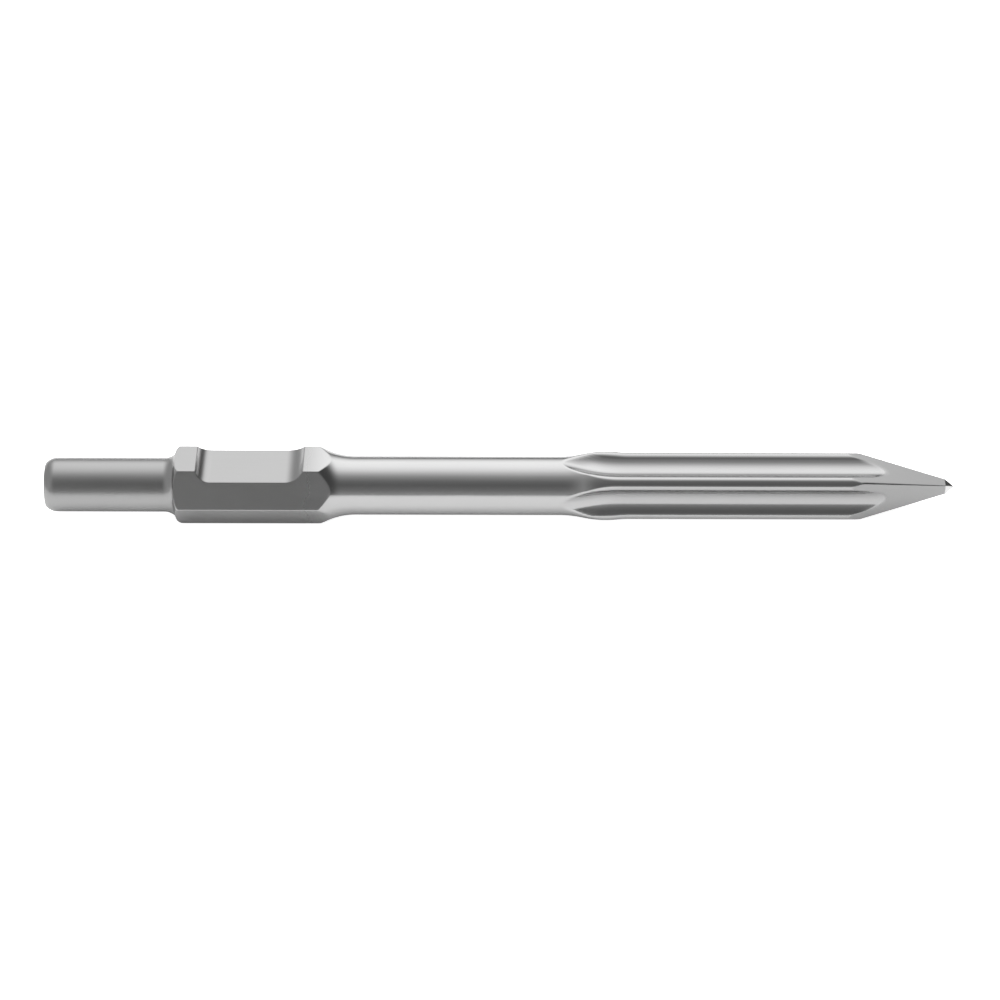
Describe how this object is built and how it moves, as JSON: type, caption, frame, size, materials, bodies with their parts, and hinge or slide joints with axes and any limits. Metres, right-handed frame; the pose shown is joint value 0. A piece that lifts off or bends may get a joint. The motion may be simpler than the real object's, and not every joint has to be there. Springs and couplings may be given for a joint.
{
  "type": "pointed breaker chisel",
  "caption": "Pointed chisel for a demolition hammer: round neck, hexagonal shank with a retaining notch, round shaft, four-ridged fluted end and a four-sided hard point.",
  "frame": {"origin": "centre of the flat striking face at the end of the round neck", "axes": "+X along the bar towards the point, +Z out of the hexagon flat that carries the retaining notch, +Y completes a right-handed frame"},
  "size_m": [0.4, 0.0344, 0.03],
  "materials": {
    "forged_steel": "forged, turned and ground tool steel, satin",
    "hard_metal": "ground hard metal, mirror bright",
    "braze_filler": "brazing filler, hidden in the socket"
  },
  "bodies": {
    "root": {"chisel_body": "forged_steel", "hard_tip": "hard_metal", "braze_joint": "braze_filler"}
  },
  "joints": []
}
